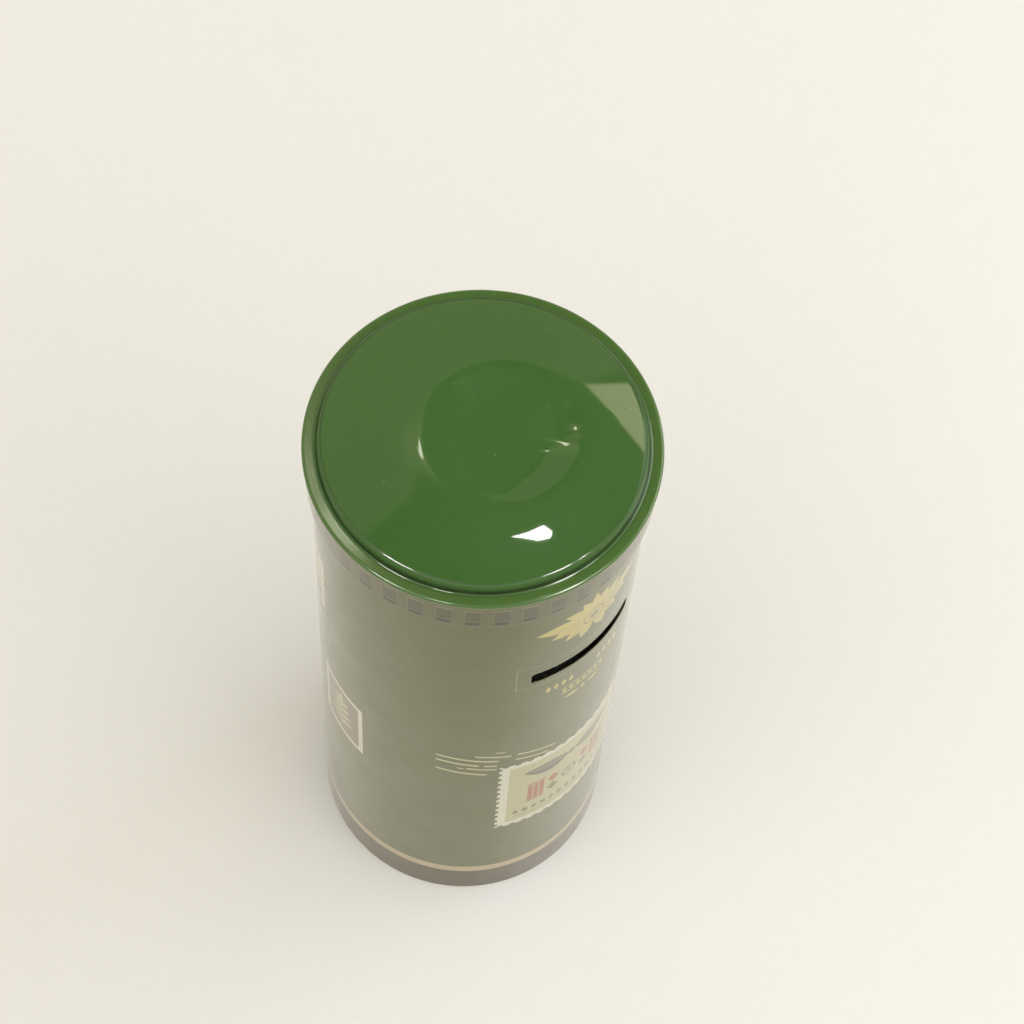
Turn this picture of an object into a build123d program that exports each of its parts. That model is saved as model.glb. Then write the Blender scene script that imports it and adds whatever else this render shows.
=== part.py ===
from build123d import *
import math
import os

# Round money tin: a tall tinplate can with a coin slot near the top of its wall and a
# slip-over lid that lifts off.  Each piece is drawn as the path of its sheet's mid-plane
# in a radial section (r, z), thickened by the sheet and turned about the tin's axis.
# Frame: millimetres, +Z up, origin at the centre of the ring the tin rests on,
# coin slot facing -Y, side seams at +Y.

SHEET = 0.28             # tinplate thickness of every piece
HALF = SHEET / 2         # from mid-plane to surface

# Can wall
BODY_R = 37.15           # outside radius
BODY_TOP = 180.15        # top of the rolled mouth
MOUTH_CURL = 1.60        # outside diameter of the rolled mouth edge
MOUTH_CURL_TURN = 285    # how far round the mouth edge is rolled, degrees
HOOK_R = 36.01           # mid-plane radius of the turned-up hook at the foot
HOOK_TOP = 2.60          # free edge of that hook
FOOT_BEND = 0.35         # mid-plane bend radius at the foot

# Side seam of the can
SEAM_W = 3.20            # width of the fold inside the can
SEAM_T = 0.56            # how far that fold stands in from the wall
SEAM_LOW = 5.5           # lower end of the fold
SEAM_TOP_GAP = 0.4       # from the fold's upper end to the mouth curl
GROOVE_W = 0.36          # fine line outside
GROOVE_D = 0.10
GROOVE_LOW = 1.5         # lower end of the line

# Coin slot
SLOT_Z = 134.60          # height of its centre line
SLOT_LEN = 29.40         # length across the chord
SLOT_H = 4.50
SLOT_CORNER = 0.90
SLOT_LIP = 0.10          # how far the lip stands in from the wall
SLOT_CUT_OUT = 5         # cutting plane's distance outside the wall
SLOT_CUT_REACH = 14      # cutter's reach either side of that plane
LIP_BAND_H = 20          # height of the ring the lip is cut from

# Base, mid-plane sizes
BASE_PANEL_Z = 4.20      # height of the recessed panel
BASE_STEP_R = 25.00      # nominal radius of the round step in the panel
BASE_STEP_LEAD = 1.2     # how far inside that radius the step starts
BASE_STEP_H = 0.90       # how far the middle is set up
BASE_STEP_SLOPE = 45     # degrees from horizontal
BASE_STEP_BEND = 0.8
BASE_PANEL_R = 32.6      # where the panel starts to slope down to its edge
BASE_EDGE_SLOPE = 40     # degrees from horizontal
BASE_EDGE_BEND = 0.7
BASE_HOOK_GAP = 0.12     # clearance over the wall's hook
BASE_FLANGE_R = 36.70    # radius of the down-turned flange
BASE_FLANGE_BEND = 0.32
BASE_FOOT_GAP = 0.08     # clearance over the wall's flat foot
BASE_RETURN_R = 36.39    # radius of the folded-back edge
BASE_RETURN_DROP = 0.45  # from the top of the wall's hook down to the free edge

# Lid top: bend radii are at the mid-plane
DISH_R = 165.0           # radius of curvature of the dish
DISH_EDGE = 15.15        # where the dish starts to turn over into the crest
CREST_BEND = 23.0        # radius of curvature of the ring-shaped crest
CREST_END_SLOPE = 3.6    # fall where the crest meets the crowned ring, degrees
ANNULUS_R = 230.0        # radius of curvature of the crowned ring outside the crest
PANEL_EDGE_R = 34.38     # where the raised panel starts to round over
PANEL_EDGE_Z = 183.25    # top surface there
PANEL_EDGE_BEND = 1.15
PANEL_SLOPE = 66.0       # steepness of the panel's side, degrees from horizontal
PANEL_FOOT_BEND = 0.70   # where the side meets the flat rim
RIM_R = 39.00            # outside radius of the rim
RIM_Z = 180.50           # top of the flat rim
RIM_CORNER = 0.55        # bend at the rim's outer corner
RIM_LOW = 179.50         # nominal lower edge of the rim's turned-down side
CRIMP_RISE = 0.10        # how far above that edge, plus half a sheet, the crimp starts
CRIMP_TURN = 40          # inward turn of the crimped edge, degrees
CRIMP_BEND = 0.25

# Lid skirt
SKIRT_R = 38.50          # outside radius
SKIRT_LOW = 169.25       # bottom of the rolled edge
SKIRT_CURL = 1.10        # outside diameter of that roll
SKIRT_CURL_TURN = 275    # how far round it is rolled, degrees
FLANGE_INNER_R = 37.35   # inner edge of the top flange
FLANGE_Z = 180.00        # mid-plane height of the flange
FLANGE_BEND = 0.42
BEAD_OUT = 0.14          # small outward bead the rim is crimped under
BEAD_H = 0.08            # straight part of the bead
BEAD_BEND = 0.5
LAP_W = 4.0              # width of the lap inside the skirt
LAP_LOW_GAP = 0.5        # from the rolled edge up to the lap
LAP_TOP_GAP = 1.4        # from the flange down to the lap


class SheetPath:
    """Mid-plane path of a bent sheet in the (r, z) half plane, always tangent-continuous.

    Headings are in degrees: 0 points outward, 90 up.
    """

    def __init__(self, r, z, heading):
        self.r = r
        self.z = z
        self.heading = math.radians(heading)
        self.pieces = []  # (start, start heading, end, end heading, signed bend radius)

    def _add(self, r, z, heading, bend):
        self.pieces.append(((self.r, self.z), self.heading, (r, z), heading, bend))
        self.r = r
        self.z = z
        self.heading = heading

    def line(self, length):
        r = self.r + length * math.cos(self.heading)
        z = self.z + length * math.sin(self.heading)
        self._add(r, z, self.heading, 0.0)

    def line_to_r(self, r):
        self.line((r - self.r) / math.cos(self.heading))

    def line_to_z(self, z):
        self.line((z - self.z) / math.sin(self.heading))

    def arc_to(self, heading, radius):
        """Bend to the given heading; one above the present heading turns left."""
        end = math.radians(heading)
        bend = radius if end > self.heading else -radius
        r = self.r + bend * (math.sin(end) - math.sin(self.heading))
        z = self.z + bend * (math.cos(self.heading) - math.cos(end))
        self._add(r, z, end, bend)

    def run_down_to_level(self, z, radius):
        """Run down the present slope, then bend to come out level at height z."""
        self.line_to_z(z + radius * (1 - math.cos(self.heading)))
        self.arc_to(0, radius)

    def shift_z(self, dz):
        self.pieces = [
            ((r0, z0 + dz), start, (r1, z1 + dz), end, bend)
            for (r0, z0), start, (r1, z1), end, bend in self.pieces
        ]
        self.z += dz

    def _side(self, offset):
        """(start, middle, end) of each piece, offset to the left; lines have no middle."""

        def shifted(point, heading, distance):
            return (
                point[0] - distance * math.sin(heading),
                point[1] + distance * math.cos(heading),
            )

        side = []
        for start, start_heading, end, end_heading, bend in self.pieces:
            middle = None
            if bend:
                centre = shifted(start, start_heading, bend)
                middle = shifted(centre, (start_heading + end_heading) / 2, offset - bend)
            side.append(
                (shifted(start, start_heading, offset), middle, shifted(end, end_heading, offset))
            )
        return side

    def solid(self):
        left = self._side(HALF)
        right = self._side(-HALF)
        outline = left + [(left[-1][2], None, right[-1][2])]
        outline += [(end, middle, start) for start, middle, end in reversed(right)]
        outline.append((right[0][0], None, left[0][0]))
        edges = []
        for piece in outline:
            points = [(point[0], 0.0, point[1]) for point in piece if point]
            if len(points) == 2:
                edges.append(Edge.make_line(*points))
            else:
                edges.append(Edge.make_three_point_arc(*points))
        return revolve(Face(Wire(edges)), axis=Axis.Z, revolution_arc=360)


def tube(r_in, r_out, height):
    return Cylinder(r_out, height) - Cylinder(r_in, height)


def wall_strip(r_in, r_out, z_low, z_high, width):
    """Upright strip of a tube wall, centred on +Y."""
    height = z_high - z_low
    strip = Box(width, 2 * r_out, height).moved(Location((0, r_out, 0)))
    strip = tube(r_in, r_out, height) & strip
    return strip.moved(Location((0, 0, (z_low + z_high) / 2)))


def slot_cutter(margin):
    """Block through the front of the wall, larger than the slot by margin all round."""
    outline = RectangleRounded(SLOT_LEN + 2 * margin, SLOT_H + 2 * margin, SLOT_CORNER + margin)
    to_front = Location((0, -BODY_R - SLOT_CUT_OUT, SLOT_Z), (90, 0, 0))
    return extrude(to_front * outline, SLOT_CUT_REACH, both=True)


def make_body_wall():
    # From the hook's free edge, down, round the flat foot, up the wall and in round
    # the rolled mouth.
    wall_r = BODY_R - HALF
    curl_r = MOUTH_CURL / 2 - HALF
    path = SheetPath(HOOK_R, HOOK_TOP, -90)
    path.line_to_z(HALF + FOOT_BEND)
    path.arc_to(0, FOOT_BEND)
    path.line_to_r(wall_r - FOOT_BEND)
    path.arc_to(90, FOOT_BEND)
    path.line_to_z(BODY_TOP - HALF - curl_r)
    path.arc_to(90 + MOUTH_CURL_TURN, curl_r)

    # Side seam: a fold inside and a fine line outside.
    curl_low = BODY_TOP - MOUTH_CURL
    fold = wall_strip(
        BODY_R - SHEET - SEAM_T, BODY_R - HALF, SEAM_LOW, curl_low - SEAM_TOP_GAP, SEAM_W
    )
    groove = Box(GROOVE_W, 2 * GROOVE_D, curl_low - GROOVE_LOW).moved(
        Location((0, BODY_R, (curl_low + GROOVE_LOW) / 2))
    )
    wall = path.solid() + fold - groove

    # Coin slot with a lip turned in all round it.
    lip_band = tube(BODY_R - SHEET - SLOT_LIP, BODY_R - HALF, LIP_BAND_H).moved(
        Location((0, 0, SLOT_Z))
    )
    return wall + (lip_band & slot_cutter(SHEET)) - slot_cutter(0)


def make_base_end():
    # Stepped round panel inside the foot.  Its edge goes down into the wall's hook and
    # is folded back on itself there.
    path = SheetPath(0.0, BASE_PANEL_Z + BASE_STEP_H, 0)
    path.line_to_r(BASE_STEP_R - BASE_STEP_LEAD)
    path.arc_to(-BASE_STEP_SLOPE, BASE_STEP_BEND)
    path.run_down_to_level(BASE_PANEL_Z, BASE_STEP_BEND)
    path.line_to_r(BASE_PANEL_R)
    path.arc_to(-BASE_EDGE_SLOPE, BASE_EDGE_BEND)
    path.run_down_to_level(HOOK_TOP + BASE_HOOK_GAP + HALF, BASE_EDGE_BEND)
    path.line_to_r(BASE_FLANGE_R - BASE_FLANGE_BEND)
    path.arc_to(-90, BASE_FLANGE_BEND)
    fold_r = (BASE_FLANGE_R - BASE_RETURN_R) / 2
    path.line_to_z(SHEET + BASE_FOOT_GAP + HALF + fold_r)
    path.arc_to(-270, fold_r)
    path.line_to_z(HOOK_TOP - BASE_RETURN_DROP)
    return path.solid()


def make_lid_top():
    # From the middle of the dish over the crest and the crowned ring, set to height at
    # the panel's edge.
    path = SheetPath(0.0, 0.0, 0)
    path.arc_to(math.degrees(math.asin(DISH_EDGE / DISH_R)), DISH_R)
    path.arc_to(-CREST_END_SLOPE, CREST_BEND)
    edge_sine = math.sin(math.radians(CREST_END_SLOPE)) + (PANEL_EDGE_R - path.r) / ANNULUS_R
    path.arc_to(-math.degrees(math.asin(edge_sine)), ANNULUS_R)
    path.shift_z(PANEL_EDGE_Z - HALF - path.z)

    # Down the panel's steep side, over the flat rim and down outside the skirt, where
    # the edge is crimped in.
    path.arc_to(-PANEL_SLOPE, PANEL_EDGE_BEND)
    path.run_down_to_level(RIM_Z - HALF, PANEL_FOOT_BEND)
    path.line_to_r(RIM_R - HALF - RIM_CORNER)
    path.arc_to(-90, RIM_CORNER)
    path.line_to_z(RIM_LOW + HALF + CRIMP_RISE)
    path.arc_to(-90 - CRIMP_TURN, CRIMP_BEND)
    return path.solid()


def make_lid_skirt():
    # Top flange under the rim, bead for the rim to grip, plain wall, and a rolled lower
    # edge that runs clear of the can wall.
    curl_r = SKIRT_CURL / 2 - HALF
    path = SheetPath(FLANGE_INNER_R, FLANGE_Z, 0)
    path.line_to_r(SKIRT_R - HALF + BEAD_OUT - FLANGE_BEND)
    path.arc_to(-90, FLANGE_BEND)
    path.line(BEAD_H)
    bead_turn = math.degrees(math.acos(1 - BEAD_OUT / 2 / BEAD_BEND))
    path.arc_to(-90 - bead_turn, BEAD_BEND)
    path.arc_to(-90, BEAD_BEND)
    path.line_to_z(SKIRT_LOW + HALF + curl_r)
    path.arc_to(-90 - SKIRT_CURL_TURN, curl_r)
    lap = wall_strip(
        SKIRT_R - 2 * SHEET,
        SKIRT_R - HALF,
        SKIRT_LOW + SKIRT_CURL + LAP_LOW_GAP,
        FLANGE_Z - LAP_TOP_GAP,
        LAP_W,
    )
    return path.solid() + lap


os.makedirs("parts", exist_ok=True)
for name, make in (
    ("body_wall", make_body_wall),
    ("base_end", make_base_end),
    ("lid_top", make_lid_top),
    ("lid_skirt", make_lid_skirt),
):
    export_step(make(), f"parts/{name}.step")
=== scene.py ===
# A round printed tin with a slot in its wall and a green enamelled lid. The tin stands on z = 0
# with its axis on Z, its slot at -Y and its side seam at +Y.
import math
from collections import namedtuple

import bpy
import numpy as np
from mathutils import Matrix, Vector
from mathutils.geometry import delaunay_2d_cdt


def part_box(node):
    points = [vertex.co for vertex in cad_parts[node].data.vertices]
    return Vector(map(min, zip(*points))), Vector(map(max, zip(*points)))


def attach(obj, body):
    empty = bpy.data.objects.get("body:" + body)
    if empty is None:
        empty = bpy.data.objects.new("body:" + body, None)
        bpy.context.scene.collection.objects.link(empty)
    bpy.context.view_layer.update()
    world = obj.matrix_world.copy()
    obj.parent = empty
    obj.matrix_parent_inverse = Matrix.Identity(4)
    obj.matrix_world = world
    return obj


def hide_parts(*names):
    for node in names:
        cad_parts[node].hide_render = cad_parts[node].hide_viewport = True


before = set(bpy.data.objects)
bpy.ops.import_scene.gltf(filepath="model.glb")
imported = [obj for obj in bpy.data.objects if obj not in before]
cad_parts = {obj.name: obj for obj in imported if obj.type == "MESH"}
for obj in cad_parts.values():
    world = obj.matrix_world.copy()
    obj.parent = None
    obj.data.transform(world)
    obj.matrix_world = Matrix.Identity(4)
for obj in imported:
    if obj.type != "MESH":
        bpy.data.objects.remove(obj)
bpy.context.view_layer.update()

# Lengths are millimetres until a mesh is made; meshes, shaders, lights and camera use metres.
MM = 0.001

# ------------------------------------------------------------------ main sizes
_, wall_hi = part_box("body_wall")
_, top_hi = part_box("lid_top")
skirt_lo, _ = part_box("lid_skirt")
BODY_R = wall_hi.x / MM
BODY_TOP = wall_hi.z / MM
RIM_R = top_hi.x / MM
SKIRT_LOW = skirt_lo.z / MM
SKIRT_R = 38.50
RIM_Z = 180.50                   # top of the lid's flat rim
FOOT_TOP = 2.60                  # top of the wall's turned-in foot
SHEET = 0.28                     # sheet thickness
HALF = SHEET / 2
COLS = 240                       # columns round the tin
BODY_IN = BODY_R - SHEET

# Angles round the tin run from -Y towards +X; the camera stands at this one, in degrees.
CAMERA_ANGLE = -46.0
SPIN = math.radians(CAMERA_ANGLE)


def spin(v):
    """Turn a point given as the camera sees it (x right, y away) into the tin's frame."""
    c, s = math.cos(SPIN), math.sin(SPIN)
    return Vector((v[0] * c - v[1] * s, v[0] * s + v[1] * c, v[2]))


def smooth(x, start, end):
    """Smooth rise from 0 at start to 1 at end."""
    t = min(1.0, max(0.0, (x - start) / (end - start)))
    return t * t * (3 - 2 * t)


# ------------------------------------------------------------------ sheet paths
# A point of a turned section: place, outward normal, and a tag (None for most).
Station = namedtuple("Station", "r z normal_r normal_z tag")
# One piece of a path; radius is signed, and 0 for a straight line. Headings are radians.
Part = namedtuple("Part", "start end heading end_heading radius tag")


class Sheet:
    """Mid-plane path of bent sheet in (r, z), made of lines and tangent arcs."""

    def __init__(self, r, z, heading):
        self.point = (r, z)
        self.heading = math.radians(heading)
        self.parts = []

    def line(self, length, tag=None):
        if length > 1e-6:
            r, z = self.point
            end = (r + length * math.cos(self.heading), z + length * math.sin(self.heading))
            self.parts.append(Part(self.point, end, self.heading, self.heading, 0.0, tag))
            self.point = end

    def line_to_r(self, r):
        self.line((r - self.point[0]) / math.cos(self.heading))

    def line_to_z(self, z, tag=None):
        self.line((z - self.point[1]) / math.sin(self.heading), tag)

    def arc_to(self, heading, radius):
        """Turn to a heading in degrees."""
        end_heading = math.radians(heading)
        s = 1.0 if end_heading > self.heading else -1.0
        r, z = self.point
        centre_r = r - s * radius * math.sin(self.heading)
        centre_z = z + s * radius * math.cos(self.heading)
        end = (centre_r + s * radius * math.sin(end_heading),
               centre_z - s * radius * math.cos(end_heading))
        self.parts.append(Part(self.point, end, self.heading, end_heading, s * radius, None))
        self.point, self.heading = end, end_heading

    def slope_to(self, level, radius):
        """Run down the present slope, then turn flat at the given radius onto a level."""
        slope = -self.heading
        rest = level + radius * (1 - math.cos(slope))
        self.line((self.point[1] - rest) / math.sin(slope))
        self.arc_to(0, radius)

    def shift_z(self, dz):
        self.parts = [part._replace(start=(part.start[0], part.start[1] + dz),
                                    end=(part.end[0], part.end[1] + dz)) for part in self.parts]
        self.point = (self.point[0], self.point[1] + dz)

    def side(self, offset, step, chord):
        """Stations along the path at an offset, normals pointing away from the sheet."""
        stations = []
        sign = 1.0 if offset > 0 else -1.0

        def put(r, z, heading, tag):
            s, c = math.sin(heading), math.cos(heading)
            stations.append(Station(r - offset * s, z + offset * c, -sign * s, sign * c, tag))

        for part in self.parts:
            (r0, z0), (r1, z1) = part.start, part.end
            radius, heading = part.radius, part.heading
            if radius == 0:
                count = max(1, math.ceil(math.dist(part.start, part.end) / step))
                for i in range(count + 1):
                    t = i / count
                    put(r0 + t * (r1 - r0), z0 + t * (z1 - z0), heading, part.tag)
            else:
                turn = part.end_heading - heading
                count = max(2, math.ceil(max(abs(radius * turn) / step, abs(turn) / chord)))
                centre_r = r0 - radius * math.sin(heading)
                centre_z = z0 + radius * math.cos(heading)
                for i in range(count + 1):
                    t = heading + turn * i / count
                    put(centre_r + radius * math.sin(t), centre_z - radius * math.cos(t),
                        t, part.tag)
        return stations

    def loop(self, step, chord=math.radians(9), round_start=True):
        """Closed section: left side, rounded end, right side back, and a rounded start."""
        stations = self.side(HALF, step, chord) + self.cap(self.point, self.heading, 90)
        stations += self.side(-HALF, step, chord)[::-1]
        if round_start:
            stations += self.cap(self.parts[0].start, self.parts[0].heading, -90)
        clean = []
        for q in stations:
            if clean and math.hypot(q.r - clean[-1].r, q.z - clean[-1].z) < 1e-5:
                if clean[-1].tag is None:
                    clean[-1] = q
                continue
            clean.append(q)
        if math.hypot(clean[0].r - clean[-1].r, clean[0].z - clean[-1].z) < 1e-5:
            clean.pop()
        return clean

    @staticmethod
    def cap(point, heading, first):
        """Half circle round an end of the sheet, starting at first degrees off the heading."""
        stations = []
        for i in range(1, 6):
            t = heading + math.radians(first - 180 * i / 6)
            c, s = math.cos(t), math.sin(t)
            # squeezed a hair in r, so that no two of its points fall together
            stations.append(Station(point[0] + HALF * c * 0.999, point[1] + HALF * s, c, s, None))
        return stations


def wall_sheet():
    """Wall from its turned-in foot up to the rolled mouth."""
    bend = 0.35
    curl = 1.60 / 2 - HALF       # the roll is 1.60 across
    s = Sheet(36.01, FOOT_TOP, -90)
    s.line_to_z(HALF + bend)
    s.arc_to(0, bend)
    s.line_to_r(BODY_R - HALF - bend)
    s.arc_to(90, bend)
    s.line_to_z(BODY_TOP - HALF - curl, tag="wall")
    s.arc_to(375, curl)
    return s


def base_sheet():
    """Base panel from its centre, down two steps, and folded under at its edge."""
    step_bend, foot_bend, edge_bend, fold = 0.8, 0.7, 0.32, 0.155
    s = Sheet(0.0, 5.10, 0)
    s.line_to_r(23.8)
    s.arc_to(-45, step_bend)
    s.slope_to(4.20, step_bend)
    s.line_to_r(32.6)
    s.arc_to(-40, foot_bend)
    s.slope_to(FOOT_TOP + 0.12 + HALF, foot_bend)
    s.line_to_r(36.70 - edge_bend)
    s.arc_to(-90, edge_bend)
    s.line_to_z(SHEET + 0.08 + HALF + fold)
    s.arc_to(-270, fold)
    s.line_to_z(2.15)
    return s


def top_sheet():
    """Lid top: shallow dish, domed shoulder, steep drop to the flat rim, turned-down edge."""
    dish_r, dish_curve, crest_curve = 15.15, 165.0, 23.0
    crest_fall = 3.6             # slope just past the crest, in degrees
    shoulder_r, shoulder_curve = 34.38, 230.0
    panel_top = 183.25
    edge_bend = 0.55
    s = Sheet(0.0, 0.0, 0)
    s.arc_to(math.degrees(math.asin(dish_r / dish_curve)), dish_curve)
    s.arc_to(-crest_fall, crest_curve)
    shoulder = math.sin(math.radians(crest_fall)) + (shoulder_r - s.point[0]) / shoulder_curve
    s.arc_to(-math.degrees(math.asin(shoulder)), shoulder_curve)
    edge = s.point[1]
    s.arc_to(-66, 1.15)
    s.shift_z(panel_top - HALF - edge)
    s.slope_to(RIM_Z - HALF, 0.70)
    s.line_to_r(RIM_R - HALF - edge_bend)
    s.arc_to(-90, edge_bend)
    s.line_to_z(179.50 + HALF + 0.10)
    s.arc_to(-130, 0.25)
    return s


def skirt_sheet():
    """Lid skirt: top flange, a small step inward, the wall, and a roll at the foot."""
    middle, roll = SKIRT_R - HALF, 1.10 / 2 - HALF
    bead, bend, jog = 0.14, 0.42, 0.5      # step inward, top bend radius, step bend radius
    s = Sheet(37.35, 180.00, 0)
    s.line_to_r(middle + bead - bend)
    s.arc_to(-90, bend)
    s.line(0.08)
    turn = math.degrees(math.acos(1 - bead / 2 / jog))
    s.arc_to(-90 - turn, jog)
    s.arc_to(-90, jog)
    s.line_to_z(SKIRT_LOW + HALF + roll, tag="wall")
    s.arc_to(-90 - 275, roll)
    return s


# ------------------------------------------------------------------ mesh building
class Build:
    """Vertices, normals and faces of one object; slots maps slot names to materials."""

    def __init__(self, slots):
        self.slots = slots
        self.verts, self.normals, self.faces, self.face_slots = [], [], [], []
        self.index = {}

    def vert(self, p, n=(0.0, 0.0, 0.0)):
        """Index of the vertex at p in mm, made with normal n unless it is there already."""
        key = (round(p[0], 5), round(p[1], 5), round(p[2], 5))
        i = self.index.get(key)
        if i is None:
            i = len(self.verts)
            self.index[key] = i
            self.verts.append((p[0] * MM, p[1] * MM, p[2] * MM))
            self.normals.append(n)
        return i

    def face(self, ids, slot):
        ids = [i for k, i in enumerate(ids) if i != ids[k - 1]]
        if len(ids) >= 3 and len(set(ids)) == len(ids):
            self.faces.append(ids)
            self.face_slots.append(slot)

    def object(self, name):
        mesh = bpy.data.meshes.new(name)
        mesh.from_pydata(self.verts, [], self.faces)
        for material in self.slots.values():
            mesh.materials.append(material)
        place = {slot: i for i, slot in enumerate(self.slots)}
        mesh.polygons.foreach_set("material_index", [place[slot] for slot in self.face_slots])
        mesh.polygons.foreach_set("use_smooth", [True] * len(self.faces))
        mesh.update()
        mesh.set_sharp_from_angle(angle=math.radians(38))
        mesh.normals_split_custom_set_from_vertices(self.normals)
        ob = bpy.data.objects.new(name, mesh)
        bpy.context.scene.collection.objects.link(ob)
        return ob


def at(theta, r, z):
    return (r * math.sin(theta), -r * math.cos(theta), z)


def turned(build, stations, slot_of=lambda p, q: "bare"):
    """Revolve a closed section, leaving out the runs tagged 'wall'."""
    angles = [-math.pi + 2 * math.pi * j / COLS for j in range(COLS)]
    rings = []
    for r, z, nr, nz, _ in stations:
        if r < 1e-6:
            rings.append([build.vert((0.0, 0.0, z), (0.0, 0.0, nz))] * COLS)
        else:
            rings.append([build.vert(at(t, r, z), (nr * math.sin(t), -nr * math.cos(t), nz))
                          for t in angles])
    for i, p in enumerate(stations):
        k = (i + 1) % len(stations)
        q = stations[k]
        if p.tag == "wall" and q.tag == "wall" or p.r < 1e-6 and q.r < 1e-6:
            continue
        slot = slot_of(p, q)
        for j in range(COLS):
            jj = (j + 1) % COLS
            build.face([rings[i][j], rings[k][j], rings[k][jj], rings[i][jj]], slot)


# ------------------------------------------------------------------ artwork, drawn flat in (u, z)
class Art:
    """Closed shapes painted in order on a tube: u is arc length from -Y towards +X."""

    def __init__(self, radius):
        self.half_round = math.pi * radius
        self.shapes = []

    def add(self, outline, slot):
        """Add an outline, its edges cut to steps of at most 0.6 mm in u and 3 mm in z."""
        points = []
        for (u0, z0), (u1, z1) in zip(outline, outline[1:] + outline[:1]):
            n = max(1, math.ceil(abs(u1 - u0) / 0.6), math.ceil(abs(z1 - z0) / 3.0))
            points += [(u0 + (u1 - u0) * k / n, z0 + (z1 - z0) * k / n) for k in range(n)]
        self.shapes.append((points, slot))

    def rect(self, u0, u1, z0, z1, slot):
        self.add([(u0, z0), (u1, z0), (u1, z1), (u0, z1)], slot)

    def seam_strip(self, width, z0, z1, slot):
        """Strip reaching width to each side of the seam."""
        for s in (-1, 1):
            u0, u1 = sorted((s * self.half_round, s * (self.half_round - width)))
            self.rect(u0, u1, z0, z1, slot)

    def bar(self, u0, z0, u1, z1, width, slot):
        """Straight stroke with rounded ends."""
        length = math.dist((u0, z0), (u1, z1))
        du, dz = (u1 - u0) / length, (z1 - z0) / length
        points, half = [], width / 2
        for u, z, start in ((u0, z0, math.pi / 2), (u1, z1, -math.pi / 2)):
            for i in range(7):
                a = start + math.pi * i / 6
                c, s = math.cos(a) * half, math.sin(a) * half
                points.append((u + c * du - s * dz, z + c * dz + s * du))
        self.add(points, slot)

    def disc(self, u, z, radius, slot, n=28):
        turns = [2 * math.pi * i / n for i in range(n)]
        self.add([(u + radius * math.cos(a), z + radius * math.sin(a)) for a in turns], slot)

    def leaf(self, u0, z0, u1, z1, width, slot, bend=0.0):
        """Pointed leaf from (u0, z0) to its tip (u1, z1), its spine bent sideways."""
        du, dz = u1 - u0, z1 - z0
        length = math.hypot(du, dz)
        nu, nz = -dz / length, du / length
        up, down, n = [], [], 9
        for i in range(n + 1):
            t = i / n
            s = math.sin(math.pi * t ** 0.85) ** 0.9 * width / 2 if 0 < t < 1 else 0.0
            b = bend * 4 * t * (1 - t)
            u, z = u0 + du * t + nu * b, z0 + dz * t + nz * b
            up.append((u + nu * s, z + nz * s))
            down.append((u - nu * s, z - nz * s))
        self.add(up + down[1:-1][::-1], slot)

    def diamond(self, u, z, du, dz, slot):
        self.add([(u - du, z), (u, z - dz), (u + du, z), (u, z + dz)], slot)

    def stamp(self, u0, u1, z0, z1, count_u, count_z, bite):
        """Paper rectangle with half-round bites; bite is their radius over their pitch."""
        points = []
        corners = [(u0, z0), (u1, z0), (u1, z1), (u0, z1)]
        counts = (count_u, count_z, count_u, count_z)
        for (au, az), (bu, bz), count in zip(corners, corners[1:] + corners[:1], counts):
            length = math.dist((au, az), (bu, bz))
            du, dz = (bu - au) / length, (bz - az) / length
            nu, nz = -dz, du               # inward, as the corners run counter-clockwise
            pitch = length / count
            r = bite * pitch
            points.append((au, az))
            for k in range(count):
                c = (k + 0.5) * pitch
                for i in range(7):
                    a = math.pi * (1 - i / 6)
                    along, deep = c + r * math.cos(a), r * math.sin(a)
                    points.append((au + du * along + nu * deep, az + dz * along + nz * deep))
        self.add(points, "paper")


def patch(build, radius, z0, z1, shapes, ground, dz=2.0, r_of=None, n_of=None, inward=False):
    """Tube wall from z0 to z1 cut along every shape's edge; a shape with slot None is a hole."""
    length = 2 * math.pi * radius
    us = [-length / 2 + length * j / COLS for j in range(COLS + 1)]
    points = []

    def add(p):
        points.append(Vector(p))
        return len(points) - 1

    low = [add((u, z0)) for u in us]
    high = [add((u, z1)) for u in us]
    rows = int(round((z1 - z0) / dz))
    zs = [z0 + (z1 - z0) * k / rows for k in range(1, rows)]
    left = [add((us[0], z)) for z in zs]
    right = [add((us[-1], z)) for z in zs]
    outlines = [low + right + high[::-1] + left[::-1]]
    outline_slots = [ground]
    for z in zs:
        for u in us[1:-1]:
            add((u, z))
    for shape, slot in shapes:
        turn = sum(p[0] * q[1] - q[0] * p[1] for p, q in zip(shape, shape[1:] + shape[:1]))
        outlines.append([add(p) for p in (shape if turn > 0 else shape[::-1])])
        outline_slots.append(slot)
    flat, _, faces, origins, _, owners_of = delaunay_2d_cdt(points, [], outlines, 1, 1e-5, True)

    where = []
    sign = -1.0 if inward else 1.0
    for p, origin in zip(flat, origins):
        q = points[origin[0]] if origin else p
        t = q.x / radius
        r = r_of(q.x, q.y) if r_of else radius
        n = n_of(q.x, q.y) if n_of else (sign * math.sin(t), -sign * math.cos(t), 0.0)
        if abs(q.x + length / 2) < 1e-4 or abs(q.x - length / 2) < 1e-4:
            t = -math.pi                   # both ends meet at the seam
        where.append(build.vert(at(t, r, q.y), n))
    for face, owners in zip(faces, owners_of):
        if any(outline_slots[o] is None for o in owners):
            continue
        ids = [where[i] for i in face]
        a, b, c = (flat[i] for i in face[:3])
        area = (b.x - a.x) * (c.y - a.y) - (b.y - a.y) * (c.x - a.x)
        if (area < 0) != inward:
            ids = ids[::-1]
        build.face(ids, outline_slots[max(owners)] if owners else ground)


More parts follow.
